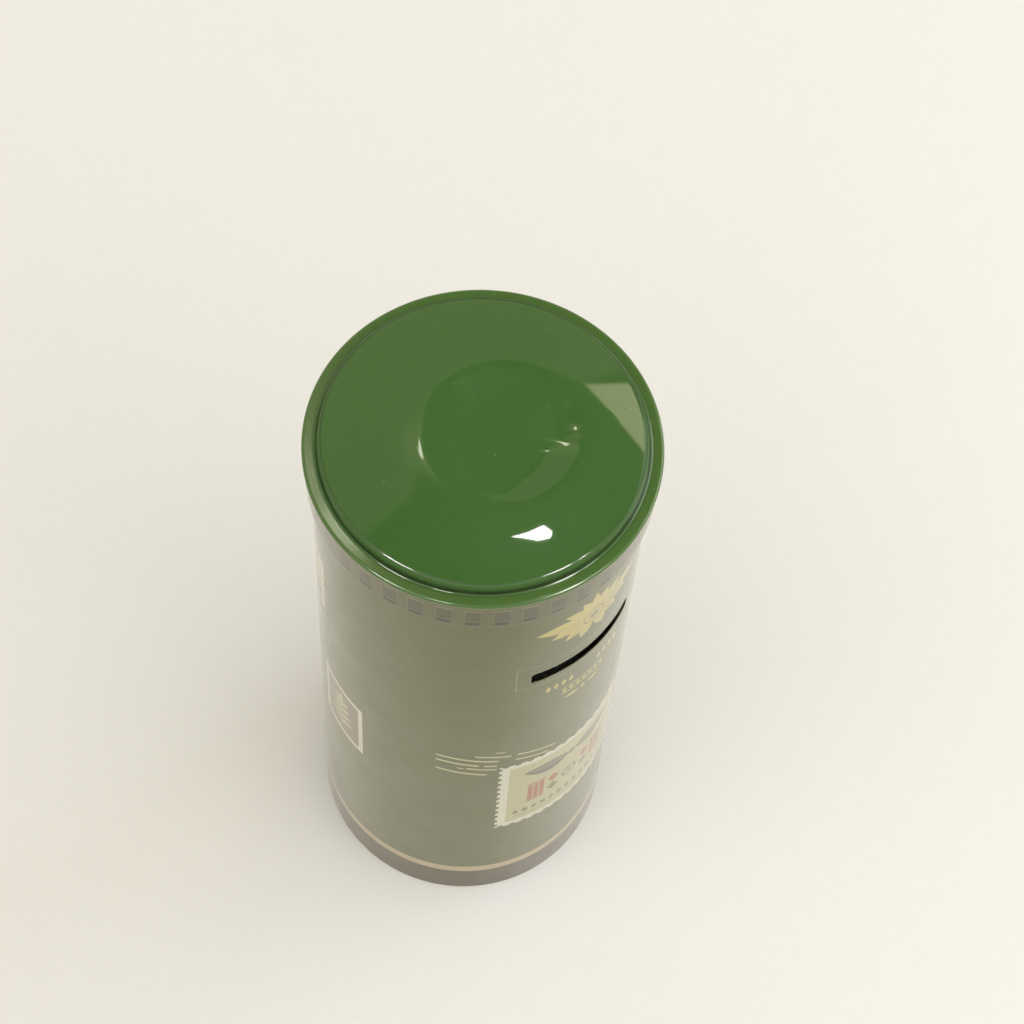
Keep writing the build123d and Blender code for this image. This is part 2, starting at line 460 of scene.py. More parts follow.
# ------------------------------------------------------------------ node materials
def srgb(*channels):
    def linear(c):
        c = c / 255.0
        return c / 12.92 if c <= 0.04045 else ((c + 0.055) / 1.055) ** 2.4
    return tuple(linear(c) for c in channels) + (1.0,)


class Nodes:
    """Short calls for building the node tree of a material or a world."""

    def __init__(self, owner):
        owner.use_nodes = True
        self.tree = owner.node_tree
        self.tree.nodes.clear()

    def node(self, kind, **props):
        node = self.tree.nodes.new(kind)
        for key, value in props.items():
            setattr(node, key, value)
        return node

    def put(self, socket, value):
        if hasattr(value, "is_output"):
            self.tree.links.new(value, socket)
        else:
            socket.default_value = value

    def math(self, operation, *values):
        node = self.node("ShaderNodeMath", operation=operation)
        for socket, value in zip(node.inputs, values):
            self.put(socket, value)
        return node.outputs[0]

    def add(self, a, b):
        return self.math("ADD", a, b)

    def times(self, a, b):
        return self.math("MULTIPLY", a, b)

    def span(self, value, over, to=(0.0, 1.0), kind="LINEAR"):
        """Map the range over onto the range to, clamped."""
        node = self.node("ShaderNodeMapRange", clamp=True, interpolation_type=kind)
        self.put(node.inputs[0], value)
        for i, limit in enumerate(over + to):
            node.inputs[i + 1].default_value = limit
        return node.outputs[0]

    def mix(self, factor, a, b):
        node = self.node("ShaderNodeMix", data_type="RGBA")
        for i, value in ((0, factor), (6, a), (7, b)):
            self.put(node.inputs[i], value)
        return node.outputs[2]

    def glossy_ray(self):
        return self.node("ShaderNodeLightPath").outputs["Is Glossy Ray"]


class Material(Nodes):
    def __init__(self, name):
        self.material = bpy.data.materials.new(name)
        super().__init__(self.material)
        output = self.node("ShaderNodeOutputMaterial")
        self.bsdf = self.node("ShaderNodeBsdfPrincipled")
        self.put(output.inputs[0], self.bsdf.outputs[0])
        self.coords = self.node("ShaderNodeTexCoord").outputs["Object"]

    def mapped(self, coords, **inputs):
        node = self.node("ShaderNodeMapping")
        self.put(node.inputs[0], coords)
        for key, value in inputs.items():
            node.inputs[key].default_value = value
        return node.outputs[0]

    def noise(self, scale, detail=2.0, rough=0.5, coords=None, stretch=None, distortion=0.0):
        coords = coords or self.coords
        if stretch:
            coords = self.mapped(coords, Scale=stretch)
        node = self.node("ShaderNodeTexNoise")
        for key, value in (("Vector", coords), ("Scale", scale), ("Detail", detail),
                           ("Roughness", rough), ("Distortion", distortion)):
            self.put(node.inputs[key], value)
        return node.outputs[0]

    def hair_lines(self, noise, width):
        """Thin lines where a noise crosses its middle value."""
        away = self.math("ABSOLUTE", self.math("SUBTRACT", noise, 0.5))
        return self.math("SUBTRACT", 1.0, self.span(away, over=(0.0, width)))

    def bump(self, height, strength, distance, normal=None):
        node = self.node("ShaderNodeBump")
        node.inputs["Strength"].default_value = strength
        node.inputs["Distance"].default_value = distance
        self.put(node.inputs["Height"], height)
        if normal is not None:
            self.put(node.inputs["Normal"], normal)
        return node.outputs[0]

    def axis_distance(self):
        """Distance from the Z axis, and height."""
        node = self.node("ShaderNodeSeparateXYZ")
        self.put(node.inputs[0], self.coords)
        x, y, z = node.outputs
        return self.math("SQRT", self.add(self.times(x, x), self.times(y, y))), z

    def done(self, color, rough, normal, metallic=0.0, coat=None, coat_rough=None, spec=None):
        values = {"Base Color": color, "Roughness": rough, "Metallic": metallic, "IOR": 1.5,
                  "Normal": normal}
        if coat is not None:
            values.update({"Coat Weight": coat, "Coat IOR": 1.5, "Coat Roughness": coat_rough,
                           "Coat Normal": normal})
        if spec is not None:
            values["Specular IOR Level"] = spec
        for key, value in values.items():
            self.put(self.bsdf.inputs[key], value)
        return self.material


def ink(name, color, vary=0.10, gold=False):
    """Print ink under gloss varnish: tone drift, fine grain and a few hair scratches."""
    t = Material(name)
    grain = 0.05
    drift = t.noise(scale=18.0, detail=3.0, rough=0.55)
    fine = t.noise(scale=2600.0, detail=1.0)
    tone = t.add(t.span(drift, over=(0.3, 0.7), to=(-vary / 2, vary / 2)),
                 t.span(fine, over=(0.3, 0.7), to=(-grain, grain)))
    light = t.add(tone, 1.0)
    plain = t.node("ShaderNodeRGB").outputs[0]
    plain.default_value = color
    scaled = t.node("ShaderNodeVectorMath", operation="SCALE")
    t.put(scaled.inputs[0], plain)
    t.put(scaled.inputs["Scale"], light)
    # hair scratches, masked to a few places
    hair = t.noise(scale=140.0, detail=0.0, stretch=(1.0, 1.0, 9.0), distortion=0.6)
    line = t.hair_lines(hair, width=0.006)
    where = t.span(t.noise(scale=42.0, rough=0.6), over=(0.60, 0.68))
    scratch = t.times(t.times(line, where), 0.35)
    base = t.mix(scratch, scaled.outputs[0], srgb(176, 172, 158))
    # painted sheen: the base colour turns pale where the surface turns from the eye, standing in
    # for the reflection there; the varnish is fuller there too
    facing = t.node("ShaderNodeLayerWeight")
    facing.inputs["Blend"].default_value = 0.5
    facing = facing.outputs["Facing"]
    side = t.span(facing, over=(0.56, 1.0))
    base = t.mix(t.times(t.math("POWER", side, 1.4), 0.22), base, srgb(206, 198, 172))
    coat = t.span(facing, over=(0.50, 0.80), to=(0.62, 1.0))
    smudge = t.noise(scale=65.0, detail=4.0, rough=0.6)
    rough = t.add(t.span(smudge, over=(0.35, 0.75), to=(-0.04, 0.08)), 0.34)
    coat_rough = t.add(t.span(smudge, over=(0.40, 0.80), to=(0.0, 0.07)), 0.10)
    # slow waves of the sheet, fine varnish texture, scratches
    roll = t.noise(scale=26.0, detail=1.0, rough=0.4, stretch=(1.0, 1.0, 0.35))
    peel = t.noise(scale=900.0, detail=1.0)
    normal = t.bump(roll, strength=0.05, distance=0.0005)
    normal = t.bump(peel, strength=0.05, distance=0.00002, normal=normal)
    normal = t.bump(scratch, strength=0.25, distance=0.00005, normal=normal)
    if gold:
        return t.done(base, t.add(rough, -0.02), normal, metallic=0.30, coat=coat,
                      coat_rough=coat_rough)
    return t.done(base, rough, normal, coat=coat, coat_rough=coat_rough, spec=0.12)


def tinplate(name, tint, base_rough):
    """Bare tinplate: brushed round the tin, clouded and slightly spangled."""
    t = Material(name)
    brushed = t.noise(scale=240.0, detail=3.0, rough=0.6, stretch=(1.0, 1.0, 0.06))
    cloud = t.noise(scale=30.0, detail=4.0, rough=0.6)
    spangle = t.noise(scale=420.0, rough=0.55)
    cloudy = (tint[0] * 0.80, tint[1] * 0.79, tint[2] * 0.76, 1.0)
    base = t.mix(t.span(cloud, over=(0.35, 0.7)), tint, cloudy)
    base = t.mix(t.span(spangle, over=(0.6, 0.75), to=(0.0, 0.25)), base, (0.52, 0.50, 0.45, 1.0))
    rough = t.add(t.span(brushed, over=(0.3, 0.7), to=(-0.06, 0.10)), base_rough)
    rough = t.add(rough, t.span(cloud, over=(0.4, 0.7), to=(0.0, 0.08)))
    normal = t.bump(brushed, strength=0.10, distance=0.00003)
    normal = t.bump(t.noise(scale=30.0, detail=1.0), strength=0.06, distance=0.0004,
                    normal=normal)
    return t.done(base, rough, normal, metallic=1.0)


def enamel():
    """Glossy green lid enamel: faint dust, fine straight scratches, a slightly wavy face."""
    t = Material("green_enamel")
    r, z = t.axis_distance()
    drift = t.noise(scale=22.0, detail=3.0)
    base = t.mix(t.span(drift, over=(0.35, 0.65)), srgb(58, 96, 41), srgb(61, 100, 43))
    fine = t.noise(scale=1700.0, rough=0.6)
    base = t.mix(t.span(fine, over=(0.50, 0.80), to=(0.0, 0.35)), base, srgb(70, 102, 48))

    def hairs(scale, along, turn, shift):
        coords = t.mapped(t.coords, Rotation=(0.0, 0.0, math.radians(turn)),
                          Location=(shift, shift * 0.7, 0.0))
        noise = t.noise(scale=scale, detail=0.0, coords=coords, stretch=(1.0, along, 1.0))
        return t.hair_lines(noise, width=0.004)

    hair_1 = hairs(scale=22.0, along=14.0, turn=28.0, shift=0.13)
    hair_2 = hairs(scale=26.0, along=12.0, turn=-57.0, shift=0.47)
    patchy = t.span(t.noise(scale=75.0, rough=0.6), over=(0.60, 0.68))
    middle = t.span(r, over=(0.032, 0.010), to=(0.10, 1.0))
    scratch = t.times(t.times(t.math("MAXIMUM", hair_1, hair_2), patchy), middle)
    base = t.mix(t.times(scratch, 0.22), base, srgb(150, 160, 120))
    dust = t.span(t.noise(scale=1100.0, detail=0.0), over=(0.865, 0.90), to=(0.0, 0.55))
    base = t.mix(dust, base, srgb(150, 156, 120))
    # painted shade: darker colour in the corner at the foot of the raised panel and under the rim,
    # mottled by a noise, with thinner varnish there
    low = t.times(t.span(z, over=((RIM_Z + 1.75) * MM, (RIM_Z + 0.95) * MM)),
                  t.span(z, over=((RIM_Z + 0.30) * MM, (RIM_Z + 0.60) * MM)))
    foot = t.times(low, t.span(r, over=(36.55 * MM, 36.25 * MM)))
    under = t.times(t.span(z, over=((RIM_Z - 0.42) * MM, (RIM_Z - 0.62) * MM)),
                    t.span(r, over=(38.6 * MM, 38.75 * MM)))
    shade_mottle = t.span(t.noise(scale=160.0, rough=0.6), over=(0.3, 0.7), to=(0.75, 1.0))
    painted_shade = t.times(t.math("MAXIMUM", foot, under), shade_mottle)
    base = t.mix(painted_shade, base, srgb(30, 46, 16))
    smudge = t.noise(scale=38.0, detail=4.0, rough=0.6)
    rough = t.add(t.span(smudge, over=(0.35, 0.75), to=(0.0, 0.06)), 0.30)
    coat_rough = t.add(t.span(smudge, over=(0.40, 0.80), to=(0.0, 0.025)), 0.018)
    coat_rough = t.add(coat_rough, t.times(scratch, 0.10))
    # the flat rim is duller and paler than the panel
    rim = (36.6 * MM, 36.9 * MM)
    coat_rough = t.add(coat_rough, t.span(r, over=rim, to=(0.0, 0.075)))
    wave = t.noise(scale=30.0, detail=1.0, rough=0.4)
    peel = t.noise(scale=700.0, detail=1.0)
    normal = t.bump(wave, strength=0.05, distance=0.0004)
    normal = t.bump(peel, strength=0.02, distance=0.00002, normal=normal)
    normal = t.bump(scratch, strength=0.15, distance=0.00003, normal=normal)
    base = t.mix(t.times(t.span(r, over=rim), 0.55), base, srgb(84, 114, 54))
    # thinner varnish where the shade is painted
    coat = t.math("SUBTRACT", 1.0, t.times(painted_shade, 0.85))
    return t.done(base, rough, normal, coat=coat, coat_rough=coat_rough, spec=0.2)


# ------------------------------------------------------------------ the printed artwork
def arc(degrees):
    """Arc length on the wall for an angle from the slot."""
    return BODY_R * math.radians(degrees)


def seen(degrees):
    """Arc length on the wall for an angle from the camera's side."""
    return arc(degrees + CAMERA_ANGLE)


# strokes running to the big stamp: (start angle as seen, z, end angle as seen, z, width)
CANCEL_LINES = (
    (-9.4, 92.5, 13.0, 89.2, 0.855), (-9.4, 89.6, 5.6, 87.4, 0.855),
    (8.6, 86.9, 12.6, 86.3, 0.72), (-1.4, 85.8, 0.2, 85.5, 0.63),
    (2.0, 85.6, 12.7, 84.0, 0.765), (-9.4, 84.2, 8.8, 81.4, 0.855),
    (5.0, 93.1, 17.8, 91.0, 0.765), (12.4, 94.6, 15.4, 94.1, 0.45),
    (21.0, 91.0, 36.0, 88.0, 0.765), (20.6, 88.0, 33.0, 85.6, 0.72),
)
# leaves of the gold spray on its +u side: (tip u, tip z, width, bend)
SPRAY_LEAVES = (
    (15.2, 157.2, 4.6, -0.9), (11.4, 152.6, 4.0, -0.5), (7.6, 148.6, 3.8, -0.3),
    (3.2, 145.4, 3.4, -0.2), (8.4, 161.0, 3.6, -0.8), (3.8, 162.6, 3.2, -0.5),
)


def draw_big_stamp(art):
    """Square stamp under the slot."""
    art.stamp(arc(-31.8), arc(31.8), 43.4, 84.4, 13, 13, 0.27)
    art.rect(arc(-27.6), arc(27.6), 45.9, 81.9, "field")
    # a pair of long leaves with a berry between them
    for s in (-1, 1):
        art.leaf(s * 0.9, 74.6, s * 14.2, 76.4, 6.0, "slate", bend=-s * 1.1)
        art.bar(s * 2.4, 74.8, s * 11.8, 75.4, 0.28, "field")
    art.disc(0.0, 74.2, 1.15, "slate")
    # a barred block and two diamonds on each side of a ringed dot
    for s in (-1, 1):
        c = s * 10.2
        for k in (-1, 0, 1):
            art.rect(c + 1.62 * k - 0.66, c + 1.62 * k + 0.66, 57.0, 66.6, "brick")
        art.rect(c - 2.6, c + 2.6, 66.9, 67.6, "brick")
        art.rect(c - 2.6, c + 2.6, 56.0, 56.7, "brick")
        art.diamond(s * 5.2, 64.6, 1.7, 2.4, "brick")
        art.diamond(s * 5.2, 59.0, 1.7, 2.4, "grey_olive")
    art.disc(0.0, 61.8, 2.6, "grey_olive", 32)
    art.disc(0.0, 61.8, 1.75, "field")
    art.disc(0.0, 61.8, 0.8, "brick", 18)
    # bead row and line along the foot
    for k in range(-6, 7):
        u = k * 2.55
        if k % 2:
            art.rect(u - 0.75, u + 0.75, 50.1, 52.3, "grey_olive")
        else:
            art.diamond(u, 51.2, 0.95, 1.5, "grey_olive")
    art.bar(-15.8, 48.4, 15.8, 48.4, 0.35, "grey_olive")


def draw_slot_box(art):
    """Faint outline box round the slot."""
    half_line = 0.32 / 2
    for s in (-1, 1):
        art.rect(s * 18.7 - half_line, s * 18.7 + half_line, 130.2, 141.2, "faint")
    art.rect(-18.86, 18.86, 141.04, 141.36, "faint")
    art.rect(-18.86, 18.86, 130.04, 130.36, "faint")


def draw_spray(art):
    """Gold spray above the slot: leaves fanned round a ring with a star."""
    cz = 153.4

    def out(angle, r):
        return r * math.cos(angle), cz + r * math.sin(angle)

    for s in (-1, 1):
        for u1, z1, width, bend in SPRAY_LEAVES:
            u0, z0 = out(math.atan2(z1 - cz, u1), 2.2)
            art.leaf(s * u0, z0, s * u1, z1, width, "gold", bend=-s * bend)
        for u1, z1, _, _ in SPRAY_LEAVES[:3]:
            u0, z0 = out(math.atan2(z1 - cz, u1), 4.4)
            art.bar(s * u0, z0, s * (u0 + 0.62 * (u1 - u0)), z0 + 0.62 * (z1 - z0) - 0.2,
                    0.3, "gold_dark")
    art.leaf(0.0, cz + 2.0, 0.0, 164.0, 2.8, "gold")
    for radius, slot in ((3.9, "gold"), (3.2, "gold_dark"), (2.75, "gold")):
        art.disc(0.0, cz, radius, slot, 36)
    art.add([out(math.pi * i / 6 + math.pi / 2, 1.0 if i % 2 else 2.2) for i in range(12)],
            "gold_dark")


def draw_gold_rows(art):
    """Three short gold rows under the slot: lozenges, a barred strip, a dot with leaves."""
    for s in (-1, 1):
        for k in range(4):
            art.diamond(s * (4.3 + 2.05 * k), 124.7, 0.72, 1.75, "gold")
    art.rect(-6.6, 6.6, 120.5, 120.9, "gold")
    art.rect(-6.6, 6.6, 117.3, 117.7, "gold")
    for k in range(-3, 4):
        art.diamond(k * 1.9, 119.1, 0.75, 1.05, "gold")
    art.disc(0.0, 114.6, 0.8, "gold", 18)
    for s in (-1, 1):
        art.leaf(s * 1.3, 114.6, s * 5.6, 114.9, 1.5, "gold", bend=-s * 0.3)


def draw_label(art, left, right, low, high):
    """Dusty field in a paper border; returns its middle u."""
    art.rect(left, right, low, high, "paper")
    art.rect(left + 1.5, right - 1.5, low + 1.6, high - 1.6, "dusty")
    return (left + right) / 2


def draw_sprig_label(art):
    """Small label at the camera's left, a sprig on a dusty field."""
    c = draw_label(art, seen(-67.5), seen(-41.6), 67.2, 93.7)
    art.bar(c, 71.5, c, 87.0, 0.5, "field")
    for k in range(4):
        z = 73.4 + 3.3 * k
        for s in (-1, 1):
            art.leaf(c, z, c + s * (4.6 - 0.5 * k), 76.8 + 3.3 * k, 1.9, "field", bend=s * 0.4)
    art.leaf(c, 85.8, c, 90.2, 1.9, "field")


def draw_landscape_stamp(art):
    """Pale stamp further round to the left: two hills and a disc."""
    left, right, inset = seen(-102.0), seen(-65.5), 2.0
    art.stamp(left, right, 123.0, 147.5, 10, 10, 0.26)
    art.rect(left + inset, right - inset, 123.0 + inset, 147.5 - inset, "field")
    art.disc((left + right) / 2 + 3.4, 140.2, 2.3, "brick", 26)
    across = [left + inset + (right - left - 2 * inset) * i / 20 for i in range(21)]
    ground = [(right - inset, 125.0), (left + inset, 125.0)]
    hill = [(u, 130.4 + 3.6 * math.sin(math.pi * (i / 20) * 1.15 + 0.25))
            for i, u in enumerate(across)]
    art.add([(left + inset, 127.5)] + hill + ground, "grey_olive")
    low_hill = [(u, 128.6 + 2.2 * math.sin(math.pi * (1 - i / 20) * 1.1 + 0.1))
                for i, u in enumerate(across)]
    art.add(low_hill + ground, "slate")


def draw_rosette_stamp(art):
    """Stamp on the side away from the camera: an eight-leaf rosette, with strokes beside it."""
    left, right, inset = seen(150.0), seen(196.0), 2.6
    art.stamp(left, right, 88.0, 122.0, 10, 14, 0.27)
    art.rect(left + inset, right - inset, 88.0 + inset, 122.0 - inset, "field")
    c, cz = (left + right) / 2, 106.5
    for i in range(8):
        a = math.pi * i / 4
        art.leaf(c + 1.6 * math.cos(a), cz + 1.6 * math.sin(a), c + 9.0 * math.cos(a),
                 cz + 9.0 * math.sin(a), 3.4, "brick" if i % 2 else "grey_olive")
    art.disc(c, cz, 2.1, "slate", 24)
    for k in range(-4, 5):
        art.diamond(c + k * 2.3, 93.2, 0.8, 1.1, "slate")
    for k, (u0, u1) in enumerate(((0.0, 15.0), (1.0, 16.5), (-1.0, 14.0), (0.5, 15.5))):
        art.bar(left - 16.5 + u0, 112.0 - 3.0 * k, left - 17.0 + u1, 110.6 - 3.0 * k,
                0.85, "cream")


def draw_ring_label(art):
    """Slim dusty label round to the camera's right: a ring, a diamond and two lines."""
    c, cz = draw_label(art, seen(104.0), seen(130.0), 62.0, 88.0), 76.5
    art.disc(c, cz, 4.6, "field", 36)
    art.disc(c, cz, 3.9, "dusty", 36)
    art.diamond(c, cz, 1.7, 2.6, "field")
    for s in (-1, 1):
        art.bar(c - 4.5, cz + s * 8.0, c + 4.5, cz + s * 8.0, 0.45, "field")


def wall_art():
    art = Art(BODY_R)
    all_round = art.half_round
    # foot band and cream line, then a bare line down the side seam
    art.rect(-all_round, all_round, 0.9, 12.5, "band")
    art.rect(-all_round, all_round, 12.5, 15.9, "cream")
    art.seam_strip(0.20, 0.9, BODY_TOP - 2.2, "bare")
    for start, z0, end, z1, width in CANCEL_LINES:
        art.bar(seen(start), z0, seen(end), z1, width, "field")
    for draw in (draw_big_stamp, draw_slot_box, draw_spray, draw_gold_rows, draw_sprig_label,
                 draw_landscape_stamp, draw_rosette_stamp, draw_ring_label):
        draw(art)
    return art


# ------------------------------------------------------------------ printed wall
SLOT_HALF_W, SLOT_HALF_H, SLOT_CORNER, SLOT_Z = 14.70, 2.25, 0.90, 134.60
LIP_GROW = 0.12                  # how far the hole in the outer face is wider than the slot
LIP_R = 36.81                    # radius to which the slot's lip is turned in
# slot lip from the outer face inward: (outline growth, radius, slot of the strip that follows);
# the inner strips are near black, as painted shade
SLOT_LIP = (
    (LIP_GROW, BODY_R, "ground"), (0.035, BODY_R - 0.035, "ground"), (0.0, BODY_R - 0.12, "slot_lip_shade"),
    (0.0, LIP_R, "slot_lip_shade"), (0.06, LIP_R - 0.04, "slot_lip_shade"), (0.22, LIP_R - 0.04, "slot_lip_shade"),
    (SHEET, LIP_R, "slot_lip_shade"), (SHEET, BODY_IN, None),
)
GROOVE_DEPTH, GROOVE_WIDTH = 0.10, 0.16    # fine line pressed in at the seam


def slot_outline(grow):
    """Outline (x, z) of the slot grown by an offset, counter-clockwise from its lower left."""
    half_w, half_h = SLOT_HALF_W - SLOT_CORNER, SLOT_HALF_H - SLOT_CORNER
    radius = SLOT_CORNER + grow

    def corner(x, z, first):
        turns = [math.radians(first + 90.0 * i / 7) for i in range(8)]
        return [(x + radius * math.cos(a), SLOT_Z + z + radius * math.sin(a)) for a in turns]

    bottom = [(-half_w + 2 * half_w * i / 24, SLOT_Z - half_h - radius) for i in range(25)]
    top = [(half_w - 2 * half_w * i / 24, SLOT_Z + half_h + radius) for i in range(1, 24)]
    return (bottom + corner(half_w, -half_h, -90)[1:] + corner(half_w, half_h, 0) + top
            + corner(-half_w, half_h, 90) + corner(-half_w, -half_h, 180)[:-1])


def slot_hole(grow, radius):
    """The slot as a hole in a tube's artwork."""
    return [(radius * math.asin(x / radius), z) for x, z in slot_outline(grow)], None


def seam_groove(u):
    away = math.pi * BODY_R - abs(u)
    return GROOVE_DEPTH * math.exp(-((away / GROOVE_WIDTH) ** 2))


def outer_radius(u, z):
    fade_low = min(1.0, max(0.0, (z - 1.2) / 0.6))
    fade_high = min(1.0, max(0.0, (BODY_TOP - 2.1 - z) / 0.6))
    return BODY_R - seam_groove(u) * (fade_low * fade_high)


def outer_normal(u, z):
    t = u / BODY_R
    away = math.pi * BODY_R - abs(u)
    slope = 0.0
    if away < 0.8 and 1.5 < z < BODY_TOP - 2.4:
        slope = seam_groove(u) * 2 * away / GROOVE_WIDTH ** 2 * (1 if u > 0 else -1)
    k = 1 / math.hypot(1.0, slope)
    return (k * (math.sin(t) + slope * math.cos(t)), k * (-math.cos(t) + slope * math.sin(t)), 0.0)


def inner_radius(u, z):
    """The folded seam stands in from the wall by two sheets."""
    folded = math.pi * BODY_IN - abs(u) < 1.62 and 5.6 < z < 178.45
    return BODY_IN - 2 * SHEET if folded else BODY_IN


def wall_slot(p, q):
    """Ink on the outside of the foot and of the rolled mouth, bare metal elsewhere."""
    if p.r > BODY_R - 0.30 and p.z < 1.0:
        return "band"
    if p.z > BODY_TOP - 1.7 and p.r > BODY_R - 1.05 and p.normal_r > -0.2:
        return "ground"
    return "bare"


def make_wall(slots):
    build = Build(slots)
    sheet = wall_sheet()
    turned(build, sheet.loop(step=1.0), wall_slot)
    straight = next(part for part in sheet.parts if part.tag == "wall")
    z0, z1 = straight.start[1], straight.end[1]

    art = wall_art()
    # unprinted cuts beside the seam give the groove its columns
    half_round = art.half_round
    upward = np.linspace(1.6, BODY_TOP - 2.5, 60)
    downward = np.linspace(BODY_TOP - 2.5, 1.6, 60)
    for away in (0.08, 0.16, 0.26, 0.5):
        for s in (-1, 1):
            u0, u1 = sorted((s * (half_round - away), s * half_round))
            strip = [(u0, z) for z in upward] + [(u1, z) for z in downward]
            art.shapes.insert(0, (strip, "ground"))
    patch(build, BODY_R, z0, z1, art.shapes + [slot_hole(LIP_GROW, BODY_R)], "ground",
          r_of=outer_radius, n_of=outer_normal)

    # inner face, cut just outside and just inside the folded seam's step
    inner = Art(BODY_IN)
    inner.seam_strip(1.76, 5.5, 178.55, "bare")
    inner.seam_strip(1.60, 5.66, 178.39, "bare")
    patch(build, BODY_IN, z0, z1, inner.shapes + [slot_hole(SHEET, BODY_IN)], "bare", dz=4.0,
          r_of=inner_radius, n_of=lambda u, z: (0.0, 0.0, 0.0), inward=True)

    rings = [[build.vert(at(math.asin(x / r), r, z)) for x, z in slot_outline(grow)]
             for grow, r, _ in SLOT_LIP]
    for ring, after, (_, _, slot) in zip(rings, rings[1:], SLOT_LIP):
        for i in range(len(ring)):
            k = (i + 1) % len(ring)
            build.face([ring[i], ring[k], after[k], after[i]], slot)
    return build.object("tin_wall_printed")


bare = tinplate("bare_tinplate", tint=(0.74, 0.72, 0.68, 1.0), base_rough=0.26)
wall = make_wall({
    "ground": ink("ink_olive", srgb(77, 81, 26)),
    "band": ink("ink_foot_band", srgb(62, 49, 8)),
    "cream": ink("ink_cream", srgb(164, 148, 114)),
    "paper": ink("ink_paper", srgb(190, 188, 170), vary=0.05),
    "field": ink("ink_field", srgb(164, 160, 120), vary=0.06),
    "slate": ink("ink_slate", srgb(86, 84, 62)),
    "brick": ink("ink_brick", srgb(146, 84, 54)),
    "gold": ink("ink_gold", srgb(172, 156, 54), gold=True),
    "gold_dark": ink("ink_gold_dark", srgb(112, 104, 42), gold=True),
    "grey_olive": ink("ink_grey_olive", srgb(104, 100, 66)),
    "dusty": ink("ink_dusty", srgb(116, 96, 74)),
    "faint": ink("ink_faint", srgb(112, 114, 74)),
    "bare": bare,
    # near-black ink on the slot's lip: painted shade inside the slot
    "slot_lip_shade": ink("ink_slot_lip_shade", srgb(34, 34, 20)),
})
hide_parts("body_wall")
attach(wall, "can")

# ------------------------------------------------------------------ base
base_build = Build({"bare": tinplate("base_tinplate", (0.70, 0.69, 0.65, 1.0), base_rough=0.30)})
turned(base_build, base_sheet().loop(step=1.5, round_start=False))
base = base_build.object("tin_base_panel")
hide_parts("base_end")
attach(base, "can")

# ------------------------------------------------------------------ lid top
RIM_MAX = 38.985                 # widest radius of the lid's rim
SINK = 0.23                      # how far the raised panel has sunk
DENT_DEPTH = 0.19
RIM_LEAN = 0.0080                # slope of the rim on its bent side
RIM_LIFT = 0.20                  # how far the rim stands up there
DISH = spin((4.6, 0.0, 0.0))     # the dish's middle, pushed to the camera's right

# the panel's upper face, and the plain dome it would be without its dish
face = sorted((q.r, q.z) for q in top_sheet().side(HALF, 0.05, math.radians(0.5))
              if q.normal_z > 0.9)
face_r, face_z = np.array([q[0] for q in face]), np.array([q[1] for q in face])
CREST = top_sheet().parts[1].end[0]
dome_r = np.linspace(0.0, CREST, 400)
dome_slope = -np.tan(np.arcsin(math.sin(math.radians(3.6)) * (dome_r / CREST) ** 1.3))
dome_rise = (dome_slope[1:] + dome_slope[:-1]) / 2 * np.diff(dome_r)
dome_z = np.concatenate(([0.0], np.cumsum(dome_rise)))
dome_z += float(np.interp(CREST, face_r, face_z)) - dome_z[-1]


def hollow(r):
    """Height of the dished face over the plain dome, below zero in the dish."""
    if r >= CREST:
        return 0.0
    return float(np.interp(r, face_r, face_z) - np.interp(r, dome_r, dome_z))


def dent(x, y):
    """Two shallow hollows on the dish's right side, as the camera sees it, with a low crease."""
    c, s = math.cos(-SPIN), math.sin(-SPIN)
    right, away = x * c - y * s, x * s + y * c
    middle = 12.2 + 0.40 * (away + 1.0) - 1.2 * math.sin((away + 1.0) * 0.36)
    near = math.exp(-((right - middle) / 4.6) ** 2)
    near *= smooth(away, 0.4, -3.0)
    near *= smooth(away, -24.0, -13.0)
    far = math.exp(-((right - 19.8) / 4.2) ** 2)
    far *= smooth(away, -0.6, 2.8)
    far *= smooth(away, 8.5, 3.6)
    return -DENT_DEPTH * (near + 0.9 * far)


def panel_move(x, y):
    """The dish's hollow is moved off centre and dented; the dome round it stays."""
    return hollow(math.hypot(x - DISH.x, y - DISH.y)) - hollow(math.hypot(x, y)) + dent(x, y)


def rim_move(x, y):
    """The flat rim stands up on the camera's left, and leans outward a touch there."""
    r = math.hypot(x, y)
    angle = math.degrees(math.atan2(x, -y) - SPIN)
    angle = (angle + 180.0) % 360.0 - 180.0
    lean = smooth(angle, -66.0, -54.0) * smooth(angle, -26.0, -38.0)
    lift = smooth(angle, -66.0, -32.0) * smooth(angle, 130.0, -30.0)
    return smooth(r, 35.2, 36.4) * (RIM_LIFT * lift - RIM_LEAN * max(0.0, r - 36.5) * lean)


def raise_verts(build, move, picked, reach):
    """Raise the vertices picked by (r, z) by move(x, y), and tilt their normals to suit."""
    for i, (p, n) in enumerate(zip(build.verts, build.normals)):
        x, y = p[0] / MM, p[1] / MM
        if not picked(math.hypot(x, y), p[2] / MM):
            continue
        build.verts[i] = (p[0], p[1], p[2] + move(x, y) * MM)
        if abs(n[2]) < 0.2:
            continue
        slope_x = (move(x + reach, y) - move(x - reach, y)) / (2 * reach)
        slope_y = (move(x, y + reach) - move(x, y - reach)) / (2 * reach)
        tilted = Vector((n[0] / n[2] - slope_x, n[1] / n[2] - slope_y, 1.0)).normalized()
        build.normals[i] = tuple(tilted * (1 if n[2] > 0 else -1))


def lid_slot(p, q):
    """The upper, outer face is enamelled, the inside is plain."""
    upper = p.z > RIM_Z - 0.9 and p.normal_z + q.normal_z > 0.02
    outer = p.r > RIM_R - 0.35 and p.normal_r + q.normal_r > 0.0
    return "enamel" if upper or outer else "bare"


